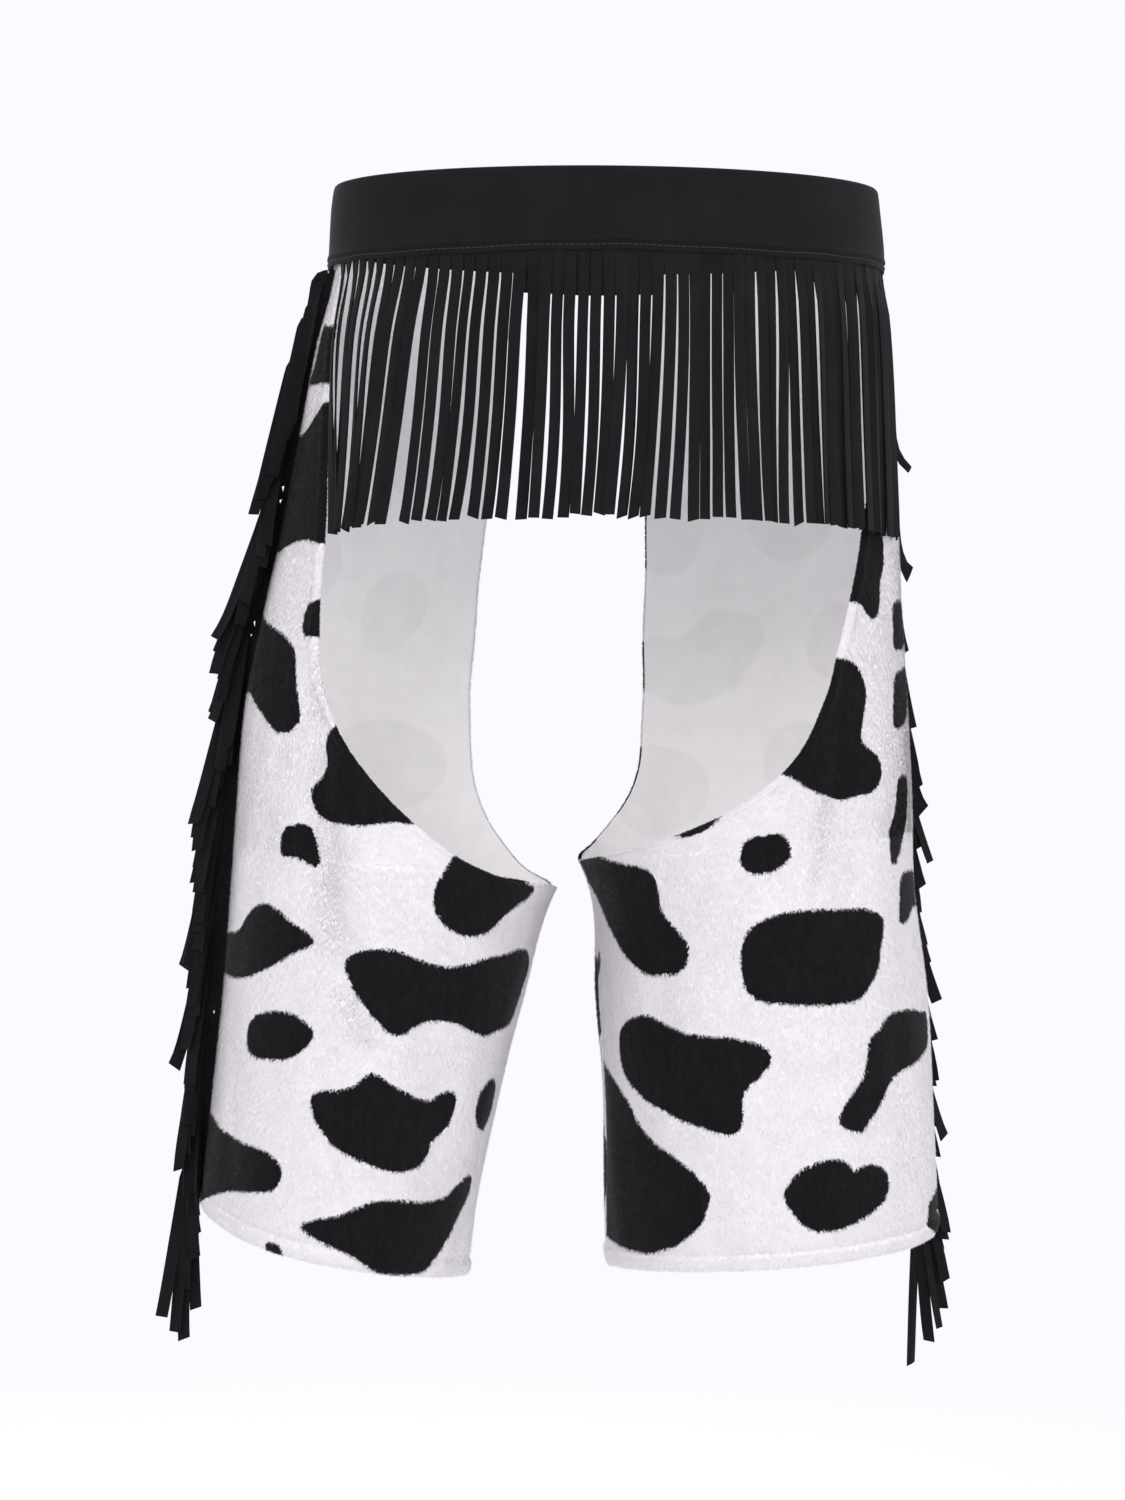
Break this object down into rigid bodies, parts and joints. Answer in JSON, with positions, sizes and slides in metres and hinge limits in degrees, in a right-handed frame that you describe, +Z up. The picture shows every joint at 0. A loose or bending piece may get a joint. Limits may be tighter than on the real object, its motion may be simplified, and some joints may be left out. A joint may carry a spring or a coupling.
{
  "type": "open-backed costume chaps with fringe",
  "caption": "Open-backed knee-length costume chaps in cow-patched plush, with a suede waistband, a fringe across the back and fringed outseams, in worn shape.",
  "frame": {"origin": "centre of the waist ring, at half the waistband's height", "axes": "+Z up, +Y to the wearer's back, +X to the wearer's left"},
  "size_m": [0.4958, 0.2452, 0.6907],
  "materials": {
    "plush": "short white pile with black patches",
    "band_suede": "black imitation suede, matt",
    "fringe_suede": "black imitation suede, cut edges"
  },
  "bodies": {
    "root": {"waistband": "band_suede", "waist_fringe": "fringe_suede", "left_front_panel": "plush", "left_back_panel": "plush", "right_front_panel": "plush", "right_back_panel": "plush", "left_side_fringe": "fringe_suede", "right_side_fringe": "fringe_suede"}
  },
  "joints": []
}
